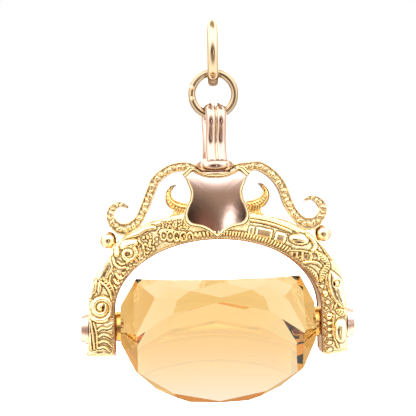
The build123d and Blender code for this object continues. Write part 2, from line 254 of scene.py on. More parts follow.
# Forms of each half in the order that they are laid: the form's name and its values
left_forms = [
    ("strip", 0.0, 0.78, (-8.3, -5.0), 0.3, 0.0),
    ("leaf", (-4.7, -22.35), 60, 1.3, 0.6, 5, 0.42),
    ("leaf", (-4.05, -22.3), 75, 1.2, 0.6, 5, 0.42),
    ("leaf", (-3.4, -22.25), 100, 1.2, 0.6, 5, 0.42),
    ("pebbles", (-6.0, -22.6), (-3.0, -21.9), 22, 0.14, 0.36),
    ("stem", [(-1.8, -23.55), (-2.89, -23.36), (-4.42, -22.98), (-5.84, -22.77), (-6.34, -23.14)], 0.17, 0.5),
    ("bars", 17.6, 30.0, 0.27, 0.95, 0.46, 0.44),
    ("loops", (-5.85, -23.37), (-3.01, -23.64), 5, 0.5, 0.17, 0.5),
    ("pebbles", (-8.6, -25.9), (-6.6, -23.2), 34, 0.19, 0.4),
    ("pebbles", (-9.9, -27.1), (-8.3, -26.0), 12, 0.18, 0.4),
    ("oval", (-12.3, -26.6), 69, 4.3, 1.75, 0.42),
    ("stem", [(-6.92, -22.48), (-7.8, -22.57), (-8.72, -23.1), (-9.64, -23.36), (-10.47, -23.9),
              (-10.94, -24.62), (-11.04, -25.44)], 0.3, 0.5),
    ("oval", (-9.66, -24.23), 18, 2.2, 1.25, 0.6),
    ("volute", (-9.72, -25.27), 0.62, 0.5, 1, 50, 0.66),
    ("stem", [(-8.55, -23.84), (-8.11, -24.57), (-7.99, -25.58)], 0.15, 0.5),
    ("bars", 7.4, 11.4, 0.27, 0.85, 0.66, 0.46),
    ("stem", [(-11.41, -25.7), (-11.24, -26.34), (-10.7, -26.76), (-10.11, -26.74)], 0.19, 0.52),
    ("stem", [(-10.92, -26.08), (-10.52, -26.4), (-10.15, -26.32)], 0.14, 0.46),
    ("stem", [(-11.13, -27.39), (-10.82, -27.85), (-10.36, -27.95), (-9.99, -27.73)], 0.21, 0.52),
    ("stem", [(-11.32, -28.07), (-11.01, -28.44), (-10.55, -28.5), (-10.14, -28.23)], 0.2, 0.52),
    ("stem", [(-11.42, -28.76), (-11.11, -29.06), (-10.65, -29.07), (-10.33, -28.86)], 0.19, 0.5),
    ("stem", [(-11.34, -29.39), (-11.07, -29.58), (-10.75, -29.5)], 0.18, 0.46),
    ("stem", [(-11.17, -29.99), (-11.0, -30.54)], 0.16, 0.44),
    ("leaf", (-11.92, -28.7), -53, 2.1, 0.85, 6, 0.52),
    ("stem", [(-11.72, -27.61), (-11.83, -28.34), (-11.48, -29.07), (-11.3, -29.71)], 0.13, 0.5),
    ("leaf", (-13.43, -28.77), 78, 1.7, 0.55, 0, 0.5),
    ("leaf", (-12.98, -28.87), 84, 1.6, 0.5, 0, 0.52),
    ("leaf", (-13.8, -29.22), 76, 1.9, 0.5, 0, 0.44),
    ("volute", (-12.85, -31.1), 1.1, 0.66, -1, 225, 0.72),
    ("stem", [(-12.75, -28.3), (-12.25, -28.75), (-11.8, -29.5), (-11.6, -30.3)], 0.16, 0.6),
    ("stem", [(-13.2, -33.56), (-12.74, -33.29), (-12.19, -33.35), (-11.59, -33.13)], 0.15, 0.46),
    ("stem", [(-13.16, -34.24), (-12.66, -33.99), (-12.11, -34.15), (-11.66, -34.47)], 0.16, 0.48),
    ("stem", [(-13.18, -34.88), (-12.63, -34.72), (-12.08, -34.94), (-11.7, -35.36)], 0.16, 0.48),
    ("stem", [(-13.19, -35.47), (-12.68, -35.36), (-12.23, -35.58), (-11.97, -35.95)], 0.15, 0.46),
    ("stem", [(-13.68, -32.73), (-13.39, -33.87), (-13.32, -35.51)], 0.12, 0.46),
    ("stem", [(-14.0, -32.59), (-13.8, -34.05), (-13.65, -35.6)], 0.13, 0.44),
    ("stem", [(-14.27, -32.4), (-14.19, -34.13), (-14.04, -35.68)], 0.14, 0.42),
]
right_forms = [
    ("strip", 0.0, 0.75, (3.5, 9.0), 0.3, 0.14),
    ("strip", 0.8, 1.14, (3.6, 8.2), 0.42, 0.0),
    ("bars", 11.8, 30.0, 0.27, 0.95, 0.365, 0.48),
    ("plate", (3.75, -23.0), -11.0, 0.62, 1.0, 0.16, 0.36),
    ("plate", (5.15, -23.3), -13.0, 1.85, 1.05, 0.2, 0.36),
    ("plate", (6.95, -23.85), -17.0, 1.3, 1.2, 0.3, 0.36),
    ("oval", (9.0, -24.08), -8, 2.3, 1.25, 0.55),
    ("stem", [(9.97, -23.59), (10.55, -24.24), (10.81, -24.93), (10.43, -25.47)], 0.26, 0.52),
    ("stem", [(11.19, -24.07), (11.9, -25.08), (12.52, -26.1)], 0.36, 0.46),
    ("stem", [(7.97, -25.31), (9.16, -25.38), (10.29, -25.6)], 0.11, 0.46),
    ("stem", [(8.2, -25.57), (8.13, -25.98)], 0.17, 0.5),
    ("stem", [(8.74, -25.58), (8.64, -26.14)], 0.17, 0.5),
    ("stem", [(9.32, -25.63), (9.28, -26.36)], 0.18, 0.52),
    ("stem", [(10.17, -25.65), (10.29, -26.01), (10.16, -26.47)], 0.2, 0.54),
    ("stem", [(10.84, -25.52), (11.2, -25.89), (11.1, -26.39)], 0.2, 0.54),
    ("stem", [(9.41, -26.68), (10.14, -26.58), (10.87, -26.71), (11.31, -27.08)], 0.2, 0.46),
    ("leaf", (10.34, -27.97), -52, 2.4, 1.0, 8, 0.5),
    ("leaf", (11.7, -26.22), -48, 1.8, 0.75, 6, 0.46),
    ("leaf", (11.76, -27.77), 63, 2.5, 0.95, 9, 0.54),
    ("oval", (11.36, -29.34), 20, 0.62, 0.5, 0.5),
    ("oval", (11.71, -30.14), 10, 0.76, 0.8, 0.56),
    ("oval", (11.95, -31.08), 0, 0.66, 0.52, 0.54),
    ("oval", (11.8, -31.72), 0, 0.5, 0.42, 0.48),
    ("oval", (12.13, -32.63), 10, 0.95, 0.8, 0.46),
    ("ovals", (12.11, -33.38), (12.08, -36.02), 5, 0, 0.78, 0.42, 0.5),
    ("stem", [(12.03, -28.0), (11.88, -28.73), (12.23, -29.64), (12.8, -30.79), (13.69, -31.9)], 0.13, 0.42),
    ("leaf", (13.09, -29.7), -70, 4.6, 1.95, 0, 0.62),
    ("boss", (13.01, -29.0), 0.34, 0.82),
    ("leaf", (12.44, -31.61), 70, 0.9, 0.3, 0, 0.5),
    ("leaf", (12.86, -31.52), 70, 0.9, 0.3, 0, 0.5),
    ("leaf", (13.59, -32.22), -20, 1.6, 0.9, 5, 0.46),
    ("stem", [(12.66, -32.57), (12.52, -33.66), (12.63, -34.75), (13.11, -35.9)], 0.13, 0.46),
    ("oval", (13.46, -34.18), 90, 2.6, 1.62, 0.66),
]
# Hollows punched last: centre, angle, length, width, depth
left_dimples = [
    ((-8.43, -24.79), 78, 1.7, 0.36, 0.45),
    ((-9.83, -25.32), 0, 0.62, 0.45, 0.6),
    ((-10.76, -27.1), -5, 1.25, 0.42, 0.55),
    ((-12.56, -31.06), 80, 1.0, 0.3, 0.5),
    ((-12.09, -32.8), 20, 1.2, 0.4, 0.25),
    ((-12.7, -36.0), 0, 2.0, 0.36, 0.4),
    ((-8.2, -25.3), 70, 1.1, 0.4, 0.5),
    ((-11.2, -27.2), 10, 0.8, 0.45, 0.5),
]
right_dimples = [
    ((8.97, -24.41), -6, 1.2, 0.2, 0.5),
    ((8.42, -25.85), 85, 0.6, 0.2, 0.4),
    ((9.0, -25.86), 85, 0.6, 0.22, 0.4),
    ((9.74, -26.05), 80, 0.6, 0.44, 0.6),
    ((10.71, -26.02), 80, 0.5, 0.42, 0.6),
    ((12.74, -29.11), 80, 0.45, 0.25, 0.5),
    ((12.13, -32.63), 10, 0.5, 0.16, 0.3),
]

# Metals: scale and detail of their drift of colour and of their wear, and how the hollows change them
drift_noise = (260.0, 3.0)
drift_darkest = 0.86
drift_range = (0.3, 0.7)
wear_noise = (1500.0, 4.0)
roughness_range = (0.7, 1.3)
hollow_power = 1.5
hollow_roughness = 0.25
stone_ior = 1.54

# Floor
floor_half_width = 3000.0
square_corners = [(-1, -1), (1, -1), (1, 1), (-1, 1)]
floor_z = -75.0
floor_tone = 0.92
floor_roughness = 0.9
floor_glow = 0.3

# Light of the room by height, as the metal mirrors it: straight down, at eye level, straight up
room_colours = ((2.0, 1.9, 1.6), (2.9, 2.9, 2.9), (3.1, 3.1, 3.1))
# Patches in it: azimuth, elevation, half width, half height, softness, colour
studio_patches = [
    (180, -27, 60, 24, 0.15, (0.6, 0.46, 0.35)),
    (74, -8, 7, 34, 0.6, (1.0, 0.78, 0.58)),
    (-74, -8, 7, 34, 0.6, (1.0, 0.78, 0.58)),
    (0, -16, 42, 34, 0.4, (0.6, 0.46, 0.35)),
    (0, 83, 28, 19, 0.4, (0.8, 0.65, 0.45)),
    (112, 0, 20, 40, 0.5, (1.15, 0.92, 0.7)),
    (-112, 0, 20, 40, 0.5, (1.15, 0.92, 0.7)),
    (-10, -9, 13, 11, 0.7, (0.06, 0.04, 0.025)),
    (-1, -11, 4.5, 6, 0.8, (0.42, 0.21, 0.15)),
    (9.2, -12, 3.2, 9, 0.3, (3.0, 2.9, 2.8)),
    (16.5, -9, 5, 11, 0.6, (0.1, 0.065, 0.052)),
    (-25, 55, 30, 16, 0.5, (3.0, 3.0, 3.0)),
    (35, 18, 8, 8, 0.5, (3.0, 3.0, 3.0)),
]
# Light that comes through the stone, in the same order, and its patches
stone_colours = ((0.95, 0.9, 0.86), (0.99, 0.98, 0.97), (0.97, 0.85, 0.8))
stone_patches = [
    (0, -5, 12, 8, 0.6, (0.8, 0.66, 0.55)),
    (135, 6, 20, 30, 0.5, (0.87, 0.7, 0.46)),
    (-135, 6, 20, 30, 0.5, (0.9, 0.74, 0.5)),
    (48, 0, 20, 35, 0.5, (0.85, 0.72, 0.68)),
    (-48, 0, 20, 35, 0.5, (0.85, 0.74, 0.68)),
]


def box_mm(node):
    """Lowest and highest corner of a CAD node, in millimetres."""
    return np.array(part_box(node)) / MM


frame_low, frame_high = box_mm("frame")
cup_high = box_mm("cup_right")[1]
leg_inner_x = cup_high[0] + cup_gap
leg_outer_x = frame_high[0]
leg_bottom_z = frame_low[2]
spring_z = cup_high[2]
inner_rise = crown_inner_z - spring_z
outer_rise = crown_outer_z - spring_z
link_bottom_z = box_mm("link_ring")[0][2]


# Meshes

def add_object(name, points, faces, material, tarnish_and_shade=None, polish=None):
    """A smooth mesh object from points in millimetres, with its normals outward."""
    mesh = bpy.data.meshes.new(name)
    mesh.from_pydata((np.asarray(points, dtype=float) * MM).tolist(), [], faces)
    for layer_name, values in (("tarnish_and_shade", tarnish_and_shade), ("polish", polish)):
        if values is not None:
            layer = mesh.attributes.new(layer_name, "FLOAT", "POINT")
            layer.data.foreach_set("value", np.asarray(values, dtype=np.float32).ravel())
    work = bmesh.new()
    work.from_mesh(mesh)
    bmesh.ops.recalc_face_normals(work, faces=work.faces)
    work.to_mesh(mesh)
    work.free()
    mesh.shade_smooth()
    mesh.materials.append(material)
    piece = bpy.data.objects.new(name, mesh)
    bpy.context.scene.collection.objects.link(piece)
    return piece


def closed_tube(name, rings, material, tarnish_and_shade=None, polish=None):
    """A closed mesh from an array of rings of points, capped at both ends."""
    rings = np.asarray(rings, dtype=float)
    count, around = rings.shape[:2]
    index = np.arange(count * around).reshape(count, around)
    following = np.roll(index, -1, axis=1)
    quads = np.stack([index[:-1], following[:-1], following[1:], index[1:]], axis=-1)
    faces = quads.reshape(-1, 4).tolist()
    faces.append(index[0].tolist())
    faces.append(index[-1][::-1].tolist())
    return add_object(name, rings.reshape(-1, 3), faces, material, tarnish_and_shade, polish)


def sideways(line):
    """Unit vectors across a line, at each of its points."""
    ahead = np.gradient(line, axis=0)
    ahead /= np.linalg.norm(ahead, axis=1)[:, None]
    return np.stack([-ahead[:, 1], ahead[:, 0]], axis=1)


def fused(name, parts):
    """Several objects as one."""
    bpy.ops.object.select_all(action="DESELECT")
    for part in parts:
        part.select_set(True)
    bpy.context.view_layer.objects.active = parts[0]
    bpy.ops.object.join()
    parts[0].name = name
    parts[0].data.name = name
    return parts[0]


def smooth_line(rows, spacing):
    """Rows at an even spacing along the smooth curve through rows whose first two numbers are the place."""
    rows = np.asarray(rows, dtype=float)
    padded = np.vstack([2 * rows[0] - rows[1], rows, 2 * rows[-1] - rows[-2]])
    steps = 24
    out = []
    for i in range(1, len(padded) - 2):
        p0, p1, p2, p3 = padded[i - 1:i + 3]
        t = np.linspace(0, 1, steps, endpoint=False)[:, None]
        out.append(0.5 * (2 * p1 + (p2 - p0) * t + (2 * p0 - 5 * p1 + 4 * p2 - p3) * t**2
                          + (3 * p1 - p0 - 3 * p2 + p3) * t**3))
    out.append(rows[-1:])
    curve = np.vstack(out)
    lengths = np.concatenate([[0], np.cumsum(np.linalg.norm(np.diff(curve[:, :2], axis=0), axis=1))])
    wanted = np.arange(0, lengths[-1], spacing)
    columns = [np.interp(wanted, lengths, curve[:, k]) for k in range(curve.shape[1])]
    return np.stack(columns, axis=1), wanted


# Relief. Each form is a pair of arrays, in millimetres: its height above the ground of the face, and the
# distance from its edge, which is below zero inside the form. Forms are laid over one another in order.

def hump(distance, half_width):
    """A round hump across a line: 1 on the line, 0 at its half width and beyond."""
    return np.sqrt(np.clip(1 - (distance / half_width) ** 2, 0, 1))


def swell(form, height, shape):
    """Height of a form that starts from its share at the edge and swells with a shape from 0 to 1."""
    start = edge_share[form]
    return height * (start + (1 - start) * shape)


def local(x, z, centre, angle):
    """Places along and across a direction given as an angle from +X towards +Z."""
    turn = math.radians(angle)
    dx = x - centre[0]
    dz = z - centre[1]
    return dx * math.cos(turn) + dz * math.sin(turn), dz * math.cos(turn) - dx * math.sin(turn)


def lay(field, form):
    """The field with a form laid on it and a groove chased round the form."""
    height, outside = form
    groove = groove_depth * np.exp(-(np.maximum(outside, 0) / groove_width) ** 2)
    return np.where(outside < 0, height, field - groove)


def volute(x, z, centre, radius, pitch, hand, start, height):
    """A coiled scroll."""
    dx = x - centre[0]
    dz = z - centre[1]
    distance = np.hypot(dx, dz)
    turn = hand * (np.arctan2(dz, dx) - math.radians(start)) / (2 * math.pi) % 1
    winding = (radius - distance) / pitch + turn
    coil = hump(2 * (winding % 1) - 1, 1.0)
    rise = volute_rim_share + (1 - volute_rim_share) * np.clip(1 - distance / radius, 0, 1)
    return swell("volute", height, coil) * rise, -winding * pitch


def leaf(x, z, centre, angle, length, width, ribs, height):
    """A pointed leaf, smooth or with ribs across it."""
    along, across = local(x, z, centre, angle)
    share = np.clip(along / length + 0.5, 0, 1)
    half = width / 2 * np.sin(math.pi * share) ** leaf_power + tiny
    body = swell("leaf", height, hump(across, half))
    if ribs:
        wave = np.abs(np.sin(math.pi * (ribs * share + rib_slant * np.abs(across) / width)))
        body = swell("rib", body, wave ** ridge_power)
    beside = np.maximum(np.abs(across) - half, 0)
    beyond = np.maximum(np.abs(along) - length / 2, 0)
    inside = np.abs(across) < half
    return body, np.hypot(beside, beyond) - just_inside * inside


def boss(x, z, centre, radius, height):
    """A round boss."""
    distance = np.hypot(x - centre[0], z - centre[1])
    return swell("boss", height, hump(distance, radius)), distance - radius


def oval(x, z, centre, angle, length, width, height):
    """An oval boss."""
    along, across = local(x, z, centre, angle)
    reach = np.hypot(along / (length / 2), across / (width / 2))
    return swell("boss", height, hump(reach, 1.0)), (reach - 1) * min(length, width) / 2


def line_distance(x, z, points):
    """Distance from a line through points."""
    nearest = np.full(np.shape(x), far_away)
    for (ax, az), (bx, bz) in zip(points, points[1:]):
        length = (bx - ax) ** 2 + (bz - az) ** 2
        share = np.clip(((x - ax) * (bx - ax) + (z - az) * (bz - az)) / length, 0, 1)
        nearest = np.minimum(nearest, np.hypot(x - ax - share * (bx - ax), z - az - share * (bz - az)))
    return nearest


def stem(x, z, points, half_width, height):
    """A raised stem along a curved line through points."""
    line, _ = smooth_line(points, stem_spacing)
    nearest = line_distance(x, z, line.tolist())
    return swell("stem", height, hump(nearest, half_width)), nearest - half_width


def loop(x, z, centre, radius, wire, height):
    """A standing oval ring of wire."""
    distance = np.hypot((x - centre[0]) * loop_slimness, z - centre[1])
    off = np.abs(distance - radius)
    return swell("loop", height, hump(off, wire)), off - wire


def bars(along, across, start, end, low, high, pitch, height):
    """A row of rounded bars that lie across the band."""
    place = ((along / pitch) % 1 - 0.5) * pitch
    half_length = (high - low) / 2
    half_width = bar_share * pitch
    reach = np.maximum(np.abs(across - (low + high) / 2) - half_length + half_width, 0)
    outside = np.hypot(place, reach) - half_width
    outside = np.where((along > start) & (along < end), outside, far_away)
    return swell("bar", height, hump(outside + half_width, half_width)), outside


def plate(x, z, centre, angle, length, width, corner, height):
    """A blank cartouche: a smooth cushion with rounded corners."""
    along, across = local(x, z, centre, angle)
    over_x = np.maximum(np.abs(along) - length / 2 + corner, 0)
    over_z = np.maximum(np.abs(across) - width / 2 + corner, 0)
    outside = np.hypot(over_x, over_z) - corner
    cushion = np.sin(math.pi / 2 * np.clip(-outside / cushion_width, 0, 1))
    return swell("plate", height, cushion), outside


def strip(from_outer, low, high, inside, height, grain):
    """A smooth or grainy strip beside the outer edge."""
    middle = (low + high) / 2
    half = (high - low) / 2
    outside = np.where(inside, np.abs(from_outer - middle) - half, far_away)
    return swell("strip", height, hump(from_outer - middle, half)) + grain, outside


def stipple(x, z, pitch, height):
    """A pebbled ground."""
    rows = np.sin(2 * math.pi * x / pitch + row_bend * np.sin(row_bend_rate * z))
    columns = np.sin(2 * math.pi * z / pitch + np.sin(column_bend_rate * x))
    return height * np.abs(rows * columns) ** ridge_power


def dimple(x, z, centre, angle, length, width, depth):
    """A hollow punched into what is there, as the amount to take off."""
    along, across = local(x, z, centre, angle)
    return depth * hump(np.hypot(along / (length / 2), across / (width / 2)), 1.0)


def pebbles(x, z, field, low, high, count, radius, height):
    """Small round grains scattered over a patch, always in the same places."""
    places = np.random.default_rng(pebble_seed).uniform(low, high, (count, 2))
    for place in places:
        field = lay(field, boss(x, z, place, radius, height))
    return field


def row_of(form, x, z, field, start, end, count, *values):
    """The same form several times on the way between two places."""
    for share in np.linspace(0, 1, count):
        centre = [a + (b - a) * share for a, b in zip(start, end)]
        field = lay(field, form(x, z, centre, *values))
    return field


def relief(x, z, along, from_inner, from_outer, side):
    """Height of the chasing on one half of the yoke, above its ground."""
    single = {"leaf": leaf, "stem": stem, "volute": volute, "boss": boss, "plate": plate, "oval": oval}
    rows = {"loops": loop, "ovals": oval}
    field = stipple(x, z, ground_pitch, ground_height)
    grain = stipple(x, z, strip_grain_pitch, 1.0)
    for name, *values in left_forms if side < 0 else right_forms:
        if name == "strip":
            low, high, (left_end, right_end), height, roughness = values
            inside = (x > left_end) & (x < right_end)
            field = lay(field, strip(from_outer, low, high, inside, height, roughness * grain))
        elif name == "bars":
            field = lay(field, bars(along, from_inner, *values))
        elif name == "pebbles":
            field = pebbles(x, z, field, *values)
        elif name in rows:
            field = row_of(rows[name], x, z, field, *values)
        else:
            field = lay(field, single[name](x, z, *values))
    for values in left_dimples if side < 0 else right_dimples:
        field = field - dimple(x, z, *values)
    return np.clip(field, -deepest_ground, None)


def bare_fields(x, z, side):
    """One where a cartouche's smooth field lies, and nought elsewhere."""
    forms = left_forms if side < 0 else right_forms
    cover = np.zeros(x.shape)
    for values in [form[1:] for form in forms if form[0] == "plate"]:
        _, outside = plate(x, z, *values)
        cover = np.maximum(cover, np.clip(-outside / cushion_polish_edge, 0, 1))
    return cover


# Yoke

def yoke_edges():
    """Places along both edges of the right half, up the straight leg and over the arch to the crown."""
    turn = np.radians(np.linspace(0, 90, arch_steps))
    foot = np.linspace(leg_bottom_z, spring_z, foot_steps, endpoint=False)
    edges = []
    for half_width, rise, roundness in ((leg_inner_x, inner_rise, inner_roundness),
                                        (leg_outer_x, outer_rise, outer_roundness)):
        x = half_width * np.maximum(np.cos(turn), 0) ** (2 / roundness)
        z = spring_z + rise * np.sin(turn) ** (2 / roundness)
        edges.append(np.stack([np.concatenate([np.full(foot.shape, half_width), x]),
                               np.concatenate([foot, z])], axis=1))
    middle = (edges[0] + edges[1]) / 2
    length = np.concatenate([[0], np.cumsum(np.linalg.norm(np.diff(middle, axis=0), axis=1))])
    wanted = np.linspace(0, length[-1], yoke_columns)
    even = [np.stack([np.interp(wanted, length, edge[:, k]) for k in range(2)], axis=1) for edge in edges]
    return *even, wanted


def cavity(height):
    """How far each place lies below the places around it, from 0 to 1."""
    around = height.copy()
    for _ in range(cavity_passes):
        padded = np.pad(around, 1, mode="edge")
        around = (padded[:-2, 1:-1] + padded[2:, 1:-1] + padded[1:-1, :-2] + padded[1:-1, 2:]) / 4
    return np.clip((around - height) / cavity_depth, 0, 1)


def rounded_edge(distance, radius):
    """How far a rounded edge falls away at a distance from it."""
    share = np.clip(1 - distance / radius, 0, 1)
    return radius * (1 - np.sqrt(np.clip(1 - share**2, 0, 1)))


def yoke_half(name, side, material):
    """One half of the yoke's band as a closed mesh, chased on its front and its back."""
    inner, outer, along = yoke_edges()
    if side < 0:
        down = (foot_flare_z - outer[:, 1]) / (foot_flare_z - leg_bottom_z)
        outer[:, 0] += foot_flare * np.clip(down, 0, 1)
    share = np.linspace(0, 1, yoke_face_points)
    x = side * (inner[:, None, 0] + (outer[:, None, 0] - inner[:, None, 0]) * share)
    z = inner[:, None, 1] + (outer[:, None, 1] - inner[:, None, 1]) * share
    width = np.hypot(outer[:, 0] - inner[:, 0], outer[:, 1] - inner[:, 1])[:, None]
    from_inner = share * width
    from_outer = (1 - share) * width
    along_face = np.broadcast_to(along[:, None], x.shape)
    height = relief(x, z, along_face, from_inner, from_outer, side)
    polish = bare_fields(x, z, side)
    raised = np.clip((from_inner - inner_rim_width) / inner_rim_blend, 0, 1)
    fall = rounded_edge(from_outer, outer_edge_rounding)
    foot_fall = rounded_edge(along_face, leg_end_rounding)
    fade = np.clip(from_outer / relief_edge_fade, 0, 1) * np.clip(along_face / relief_foot_fade, 0, 1)
    crown_share = from_inner / width
    dome = yoke_dome * (1 - (2 * crown_share - 1) ** 2)
    bead = inner_rim_lift * hump(from_inner - inner_rim_width / 2, inner_rim_width / 2) * (1 - raised)
    lift = bead + (yoke_face_y - yoke_edge_y + dome + height * fade) * raised
    face_y = yoke_edge_y + lift - fall - foot_fall
    squeeze = 1 - 2 * rounded_edge(along, leg_end_rounding)[:, None] / width
    middle_x = (x[:, :1] + x[:, -1:]) / 2
    x = middle_x + (x - middle_x) * squeeze
    if side > 0:
        near_foot = np.clip(1 - along_face / right_foot_drop_height, 0, 1)
        z = z - right_foot_drop * (1 - right_foot_drop_slope * crown_share) * near_foot
    front = np.stack([x, -face_y, z], axis=-1)
    back = np.stack([x, face_y, z], axis=-1)[:, ::-1]
    side_share = np.linspace(0, 1, yoke_side_points + 2)[1:-1][None, :, None]
    outer_wall = front[:, -1:] + (back[:, :1] - front[:, -1:]) * side_share
    inner_wall = back[:, -1:] + (front[:, :1] - back[:, -1:]) * side_share
    rings = np.concatenate([front, outer_wall, back, inner_wall], axis=1)
    # Hollows of the chasing are darkened, part tarnish and part painted shade for the shade that gathers in
    # them
    tarnish_and_shade = np.maximum(cavity(height) * raised * fade, inner_rim_tone * (1 - raised))
    # Painted shade darkens each leg towards its bottom end
    tarnish_and_shade = np.maximum(tarnish_and_shade, foot_shade * np.clip(1 - along_face / foot_shade_height, 0, 1))
    plain = np.zeros((len(along), yoke_side_points))
    tarnish_and_shade = np.concatenate([tarnish_and_shade, plain, tarnish_and_shade[:, ::-1], plain], axis=1)
    polish = np.concatenate([polish, plain, polish[:, ::-1], plain], axis=1)
    return closed_tube(name, rings, material, tarnish_and_shade, polish)


def edge_wire(name, side, face, material):
    """The rosy edge of the yoke's lining, at its inner side, on the front (-1) or the back (1)."""
    line = yoke_edges()[0] * np.array([side, 1])
    normal = sideways(line)
    angle = np.linspace(0, 2 * math.pi, edge_wire_sides, endpoint=False)
    out = edge_wire_radius * np.cos(angle)
    x = line[:, :1] - out * normal[:, :1]
    z = line[:, 1:] - out * normal[:, 1:]
    y = np.broadcast_to(face * yoke_edge_y + edge_wire_radius * np.sin(angle), x.shape)
    return closed_tube(name, np.stack([x, y, z], axis=-1), material)


# Straps and hooks

def ribbon(name, rows, width, depth, material, profile):
    """A band that follows a centre line, whose two faces have a relief given by a profile."""
    line, along = smooth_line(rows, ribbon_spacing)
    normal = sideways(line[:, :2])
    across = np.linspace(-1, 1, ribbon_points)
    half = width / 2 * line[:, 2:]
    height = profile(along[:, None], across * half, half)
    face_y = depth / 2 * np.clip(line[:, 2:], thinnest_tip, 1) + height
    x = line[:, :1] + normal[:, :1] * across * half
    z = line[:, 1:2] + normal[:, 1:] * across * half
    front = np.stack([x, -face_y, z], axis=-1)
    back = np.stack([x, face_y, z], axis=-1)[:, ::-1]
    rings = np.concatenate([front, back], axis=1)
    # Hollows between the beads and ribs are darkened, part tarnish and part painted shade
    low = cavity(height)
    tarnish_and_shade = np.concatenate([low, low[:, ::-1]], axis=1)
    return closed_tube(name, rings, material, tarnish_and_shade)


def uneven(number, change):
    """A small value that differs from bead to bead."""
    size, rate = change
    return size * np.sin(rate * number)


def strap_profile(along, across, half):
    """Two rounded rims with a row of uneven beads in the channel between them."""
    share = np.abs(across) / half
    rim = hump(share - (1 - strap_rim_share / 2), strap_rim_share / 2)
    number = np.floor(along / strap_bead_pitch)
    place = (along / strap_bead_pitch - number - 0.5) * strap_bead_pitch
    place = place + across * uneven(number, bead_slant)
    aside = strap_bead_stretch * (across - uneven(number, bead_shift))
    radius = strap_bead_radius * (1 + uneven(number, bead_growth))
    bead = (strap_bead_height + uneven(number, bead_lift)) * hump(np.hypot(place, aside) / radius, 1.0)
    return -strap_channel_depth + np.maximum(strap_rim_height * rim, bead)


def hook_profile(along, across, half):
    """A rounded horn with a row of punched grains along it."""
    place = (along / hook_grain_pitch % 1 - 0.5) * hook_grain_pitch
    grain = hump(np.hypot(place, across - hook_grain_place), hook_grain_radius)
    depth = hook_grain_depth * np.clip(half / hook_grain_full_width, 0, 1)
    return -hook_fall * (1 - hump(across, half)) - depth * grain


def root_profile(along, across, half):
    """Upright ribs that flare from the yoke."""
    sway = root_rib_sway * np.sin(root_rib_sway_rate * along)
    ribs = np.abs(np.cos(math.pi * (root_rib_count * across / half + sway))) ** ridge_power
    band = hump(along - root_band_place, root_band_half_width)
    fall = root_fall * (1 - hump(across, half))
    return -fall + root_rib_height * ribs * (1 - band) + root_band_height * band


def ball(name, place, radius, material):
    """A smooth ball."""
    work = bmesh.new()
    around, upright = ball_segments
    bmesh.ops.create_uvsphere(work, u_segments=around, v_segments=upright, radius=radius)
    points = [tuple(vertex.co + Vector(place)) for vertex in work.verts]
    faces = [[vertex.index for vertex in face.verts] for face in work.faces]
    work.free()
    return add_object(name, points, faces, material)


# Shield

def shield_outline(share):
    """The shield's outline about its middle, grown or shrunk by a share, as places x, z."""
    middle_z = crown_inner_z + shield_height / 2
    half = np.vstack([smooth_line(part, shield_outline_spacing)[0] for part in (shield_top, shield_side)])
    right = np.stack([half[:, 0] * shield_half_width * share,
                      middle_z + share * shield_height * (0.5 - half[:, 1])], axis=1)
    left = right[::-1][1:-1] * np.array([-1, 1])
    return np.vstack([right, left])


def plate_rings(outlines, heights):
    """Rings of points for a stack of outlines, each at its own Y."""
    return np.stack([np.insert(outline, 1, y, axis=1) for outline, y in zip(outlines, heights)])


def shield(material_plate, material_rim, material_block):
    """The plain shield: a polished, slightly domed field, its thin raised rim, and the block behind it."""
    front_y = shield_back_y - shield_thickness
    middle = np.array([0.0, crown_inner_z + shield_middle_share * shield_height])
    full = shield_outline(1.0)
    rim_share = 1 - shield_rim_width / shield_half_width
    inner = middle + (full - middle) * rim_share
    shares = np.linspace(1, smallest_ring_share, shield_field_rings)
    outlines = [middle + (inner - middle) * share for share in shares]

    def field_y(places):
        """The field is a little convex both ways and falls away towards its top."""
        aside = (places[:, 0] / shield_half_width) ** 2
        above = ((places[:, 1] - middle[1]) / (shield_height / 2)) ** 2
        from_top = shield_top_z + shield_ear_rise * aside - places[:, 1]
        fall = shield_edge_fall * np.exp(-from_top / shield_edge_width)
        return front_y + shield_sunk + shield_dome * (aside + shield_upright_share * above) + fall

    levels = [shield_back_y, *[field_y(outline) for outline in outlines]]
    field = closed_tube("shield_field", plate_rings([inner, *outlines], levels), material_plate)
    walls = [full + (inner - full) * share for share, _, _ in rim_section]
    levels = [shield_back_y if lift is None else front_y - lift for _, lift, _ in rim_section]
    # The floor of the rim's groove is darkened with painted shade
    tone = np.broadcast_to([groove_shade for _, _, groove_shade in rim_section], (len(full), len(rim_section)))
    rim = closed_tube("shield_rim", np.swapaxes(plate_rings(walls, levels), 0, 1), material_rim, tone)
    levels = [shield_back_y + block_overlap, 0.0, block_back_y]
    block = plate_rings([shield_outline(block_share)] * len(levels), levels)
    return [field, rim, closed_tube("shield_block", block, material_block)]


# Collar, neck and bail

def collar(material):
    """The round collar under the bail with its soft edges, and the neck below it."""
    profile = [(axis_radius, collar_top_z)]
    flat = collar_radius - collar_rounding
    middle = (collar_top_z + collar_bottom_z) / 2
    half = (collar_top_z - collar_bottom_z) / 2
    for turn in np.radians(np.linspace(90, -90, collar_steps)):
        profile.append((flat + collar_rounding * math.cos(turn), middle + half * math.sin(turn)))
    profile += [(neck_radius + wider, collar_bottom_z - down) for wider, down in neck_steps]
    profile += [(r, crown_outer_z - neck_sunk) for r in (neck_radius - neck_draw, axis_radius)]
    turns = np.linspace(0, 2 * math.pi, turned_steps, endpoint=False)
    rings = [[(r * math.cos(turn), r * math.sin(turn), z) for turn in turns] for r, z in profile]
    return closed_tube("collar", rings, material)


